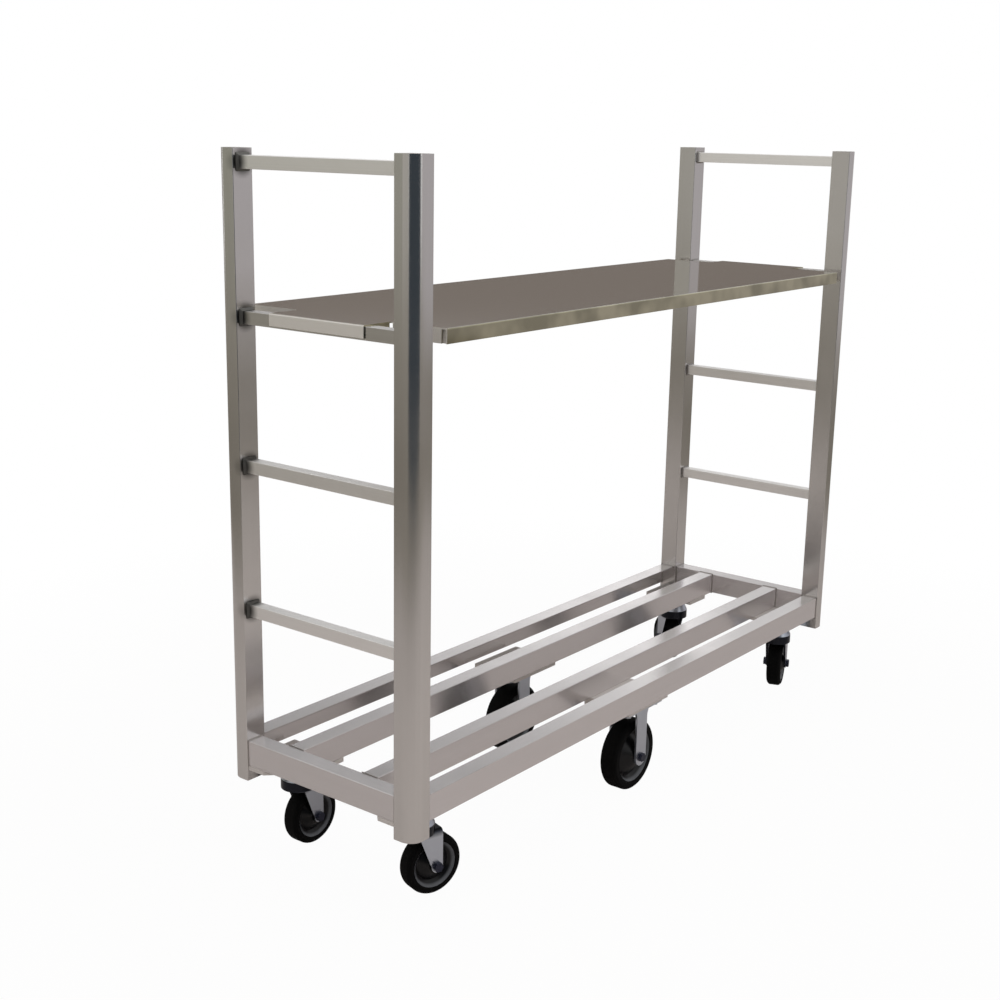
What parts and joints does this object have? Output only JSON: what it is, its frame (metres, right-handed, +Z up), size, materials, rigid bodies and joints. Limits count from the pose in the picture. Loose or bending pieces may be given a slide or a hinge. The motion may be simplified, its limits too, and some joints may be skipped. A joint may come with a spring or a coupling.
{
  "type": "u-boat cart",
  "caption": "Long narrow stock cart with a slatted tube deck, ladder ends, a lift-off folded shelf, swivel casters at the corners and fixed wheels in the middle.",
  "frame": {"origin": "on the floor under the two middle wheels, at the centre of the deck", "axes": "+X along the deck, to the right in the picture, +Y across the deck to the back, +Z up"},
  "size_m": [1.712, 0.508, 1.4715],
  "materials": {
    "post_aluminium": "satin mill finish",
    "bar_aluminium": "satin mill finish",
    "deck_aluminium": "satin mill finish",
    "mount_plate": "plain rolled plate",
    "shelf_sheet": "dull reflective sheet",
    "fork_zinc": "bluish zinc plate",
    "axle_steel": "dark oxide",
    "wheel_core": "moulded, matte",
    "tyre_rubber": "matte black"
  },
  "bodies": {
    "frame": {"post_left_front": "post_aluminium", "post_right_front": "post_aluminium", "post_left_back": "post_aluminium", "post_right_back": "post_aluminium", "post_caps": "post_aluminium", "lower_rung_left": "bar_aluminium", "lower_rung_right": "bar_aluminium", "upper_rung_left": "bar_aluminium", "upper_rung_right": "bar_aluminium", "shelf_bar_left": "bar_aluminium", "shelf_bar_right": "bar_aluminium", "top_bar_left": "bar_aluminium", "top_bar_right": "bar_aluminium", "side_rail_front": "deck_aluminium", "deck_tube_front": "deck_aluminium", "side_rail_back": "deck_aluminium", "deck_tube_back": "deck_aluminium", "end_rail_left": "deck_aluminium", "end_rail_right": "deck_aluminium", "caster_mount_left_front": "mount_plate", "caster_mount_right_front": "mount_plate", "caster_mount_left_back": "mount_plate", "caster_mount_right_back": "mount_plate", "caster_mount_middle_front": "mount_plate", "caster_mount_middle_back": "mount_plate", "kingpins": "fork_zinc", "swivel_plate_left_front": "fork_zinc", "swivel_plate_right_front": "fork_zinc", "swivel_plate_left_back": "fork_zinc", "swivel_plate_right_back": "fork_zinc", "fork_middle_front": "fork_zinc", "fork_middle_back": "fork_zinc", "axle_middle_front": "axle_steel", "axle_middle_back": "axle_steel"},
    "shelf": {"shelf": "shelf_sheet"},
    "swivel_left_front": {"swivel_fork_left_front": "fork_zinc", "axle_left_front": "axle_steel"},
    "wheel_left_front": {"wheel_left_front": "wheel_core", "tyre_left_front": "tyre_rubber"},
    "swivel_right_front": {"swivel_fork_right_front": "fork_zinc", "axle_right_front": "axle_steel"},
    "wheel_right_front": {"wheel_right_front": "wheel_core", "tyre_right_front": "tyre_rubber"},
    "swivel_left_back": {"swivel_fork_left_back": "fork_zinc", "axle_left_back": "axle_steel"},
    "wheel_left_back": {"wheel_left_back": "wheel_core", "tyre_left_back": "tyre_rubber"},
    "swivel_right_back": {"swivel_fork_right_back": "fork_zinc", "axle_right_back": "axle_steel"},
    "wheel_right_back": {"wheel_right_back": "wheel_core", "tyre_right_back": "tyre_rubber"},
    "wheel_middle_front": {"wheel_middle_front": "wheel_core", "tyre_middle_front": "tyre_rubber"},
    "wheel_middle_back": {"wheel_middle_back": "wheel_core", "tyre_middle_back": "tyre_rubber"}
  },
  "joints": [
    {"name": "shelf_lift", "type": "slide", "parent": "frame", "child": "shelf", "axis": [0, 0, 1], "range_m": [0, 0.2]},
    {"name": "swivel_left_front", "type": "hinge", "parent": "frame", "child": "swivel_left_front", "pos_m": [-0.748, -0.1645, 0.2], "axis": [0, 0, 1], "continuous": true},
    {"name": "roll_left_front", "type": "hinge", "parent": "swivel_left_front", "child": "wheel_left_front", "pos_m": [-0.71628, -0.1736, 0.0905], "axis": [0.2756, 0.9613, 0], "continuous": true},
    {"name": "swivel_right_front", "type": "hinge", "parent": "frame", "child": "swivel_right_front", "pos_m": [0.748, -0.1645, 0.2], "axis": [0, 0, 1], "continuous": true},
    {"name": "roll_right_front", "type": "hinge", "parent": "swivel_right_front", "child": "wheel_right_front", "pos_m": [0.77901, -0.15321, 0.0905], "axis": [-0.342, 0.9397, 0], "continuous": true},
    {"name": "swivel_left_back", "type": "hinge", "parent": "frame", "child": "swivel_left_back", "pos_m": [-0.748, 0.1645, 0.2], "axis": [0, 0, 1], "continuous": true},
    {"name": "roll_left_back", "type": "hinge", "parent": "swivel_left_back", "child": "wheel_left_back", "pos_m": [-0.715, 0.1645, 0.0905], "axis": [0, 1, 0], "continuous": true},
    {"name": "swivel_right_back", "type": "hinge", "parent": "frame", "child": "swivel_right_back", "pos_m": [0.748, 0.1645, 0.2], "axis": [0, 0, 1], "continuous": true},
    {"name": "roll_right_back", "type": "hinge", "parent": "swivel_right_back", "child": "wheel_right_back", "pos_m": [0.76645, 0.19186, 0.0905], "axis": [-0.829, 0.5592, 0], "continuous": true},
    {"name": "roll_middle_front", "type": "hinge", "parent": "frame", "child": "wheel_middle_front", "pos_m": [0, -0.1725, 0.085], "axis": [0, 1, 0], "continuous": true},
    {"name": "roll_middle_back", "type": "hinge", "parent": "frame", "child": "wheel_middle_back", "pos_m": [0, 0.1725, 0.085], "axis": [0, 1, 0], "continuous": true}
  ]
}
